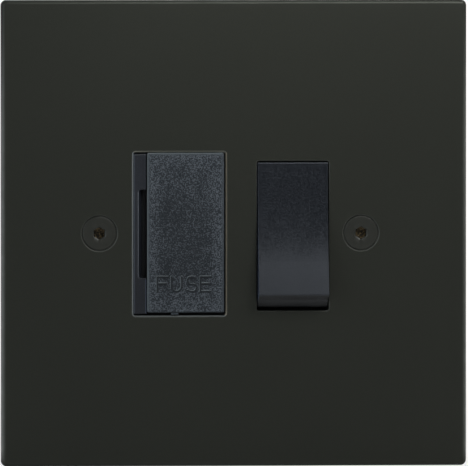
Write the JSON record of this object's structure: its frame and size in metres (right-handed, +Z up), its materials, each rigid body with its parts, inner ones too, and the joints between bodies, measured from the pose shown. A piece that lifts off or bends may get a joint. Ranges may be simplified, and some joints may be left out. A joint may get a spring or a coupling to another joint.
{
  "type": "fused spur unit",
  "caption": "Square dark metal wall plate with a pull-out fuse drawer beside a rocker switch, held by countersunk screws, with an insulated housing and brass terminals behind.",
  "frame": {"origin": "halfway between the two fixing holes, on the plate's back, which is the wall plane", "axes": "+X to the right and +Z up as seen from the room, +Y into the wall"},
  "size_m": [0.1072, 0.0322, 0.1072],
  "materials": {
    "plate": "fine satin black coat on steel",
    "black_screw": "blackened steel with a worn brass socket",
    "moulding": "black insulating moulding",
    "housing": "black insulating moulding",
    "carrier": "dark grey moulding with a coarse spark-eroded grain",
    "rocker": "smooth black moulding",
    "ceramic": "white glazed ceramic tube",
    "cap": "nickel-plated brass cap",
    "brass": "pressed and turned brass",
    "silver": "silver contact rivet",
    "steel": "zinc-plated steel",
    "plunger": "natural nylon plunger"
  },
  "bodies": {
    "unit": {"front_plate": "plate", "left_fixing_screw": "black_screw", "right_fixing_screw": "black_screw", "front_moulding": "moulding", "rear_housing": "housing", "upper_fuse_clip": "brass", "lower_fuse_clip": "brass", "neutral_contact_strip": "brass", "earth_link": "brass", "earth_strap": "brass", "live_pivot_bracket": "brass", "neutral_pivot_bracket": "brass", "supply_live_terminal": "brass", "supply_neutral_terminal": "brass", "supply_earth_terminal": "brass", "load_live_terminal": "brass", "load_neutral_terminal": "brass", "load_earth_terminal": "brass", "live_fixed_contact": "silver", "neutral_fixed_contact": "silver", "earth_screw": "steel", "supply_live_terminal_screw": "steel", "supply_neutral_terminal_screw": "steel", "supply_earth_terminal_screw": "steel", "load_live_terminal_screw": "steel", "load_neutral_terminal_screw": "steel", "load_earth_terminal_screw": "steel", "assembly_screw_1": "steel", "assembly_screw_2": "steel", "assembly_screw_3": "steel", "assembly_screw_4": "steel"},
    "fuse_drawer": {"fuse_carrier": "carrier", "fuse_barrel": "ceramic", "fuse_upper_cap": "cap", "fuse_lower_cap": "cap"},
    "rocker": {"rocker": "rocker", "live_plunger": "plunger", "neutral_plunger": "plunger", "live_plunger_spring": "steel", "neutral_plunger_spring": "steel"},
    "live_contact": {"live_contact_bar": "brass", "live_moving_contact": "silver"},
    "neutral_contact": {"neutral_contact_bar": "brass", "neutral_moving_contact": "silver"}
  },
  "joints": [
    {"name": "fuse_drawer_slide", "type": "slide", "parent": "unit", "child": "fuse_drawer", "axis": [0, -1, 0], "range_m": [0, 0.016]},
    {"name": "rocker_tilt", "type": "hinge", "parent": "unit", "child": "rocker", "pos_m": [0.01443, 0.0065, -0.00067], "axis": [1, 0, 0], "range_deg": [0, 16]},
    {"name": "live_contact_tilt", "type": "hinge", "parent": "unit", "child": "live_contact", "pos_m": [0.01023, 0.01475, -0.00067], "axis": [1, 0, 0], "range_deg": [-18, 0]},
    {"name": "neutral_contact_tilt", "type": "hinge", "parent": "unit", "child": "neutral_contact", "pos_m": [0.01863, 0.01475, -0.00067], "axis": [1, 0, 0], "range_deg": [-18, 0]}
  ],
  "couplings": [
    {"joint": "live_contact_tilt", "follows": "rocker_tilt", "ratio": -1.125},
    {"joint": "neutral_contact_tilt", "follows": "rocker_tilt", "ratio": -1.125}
  ]
}
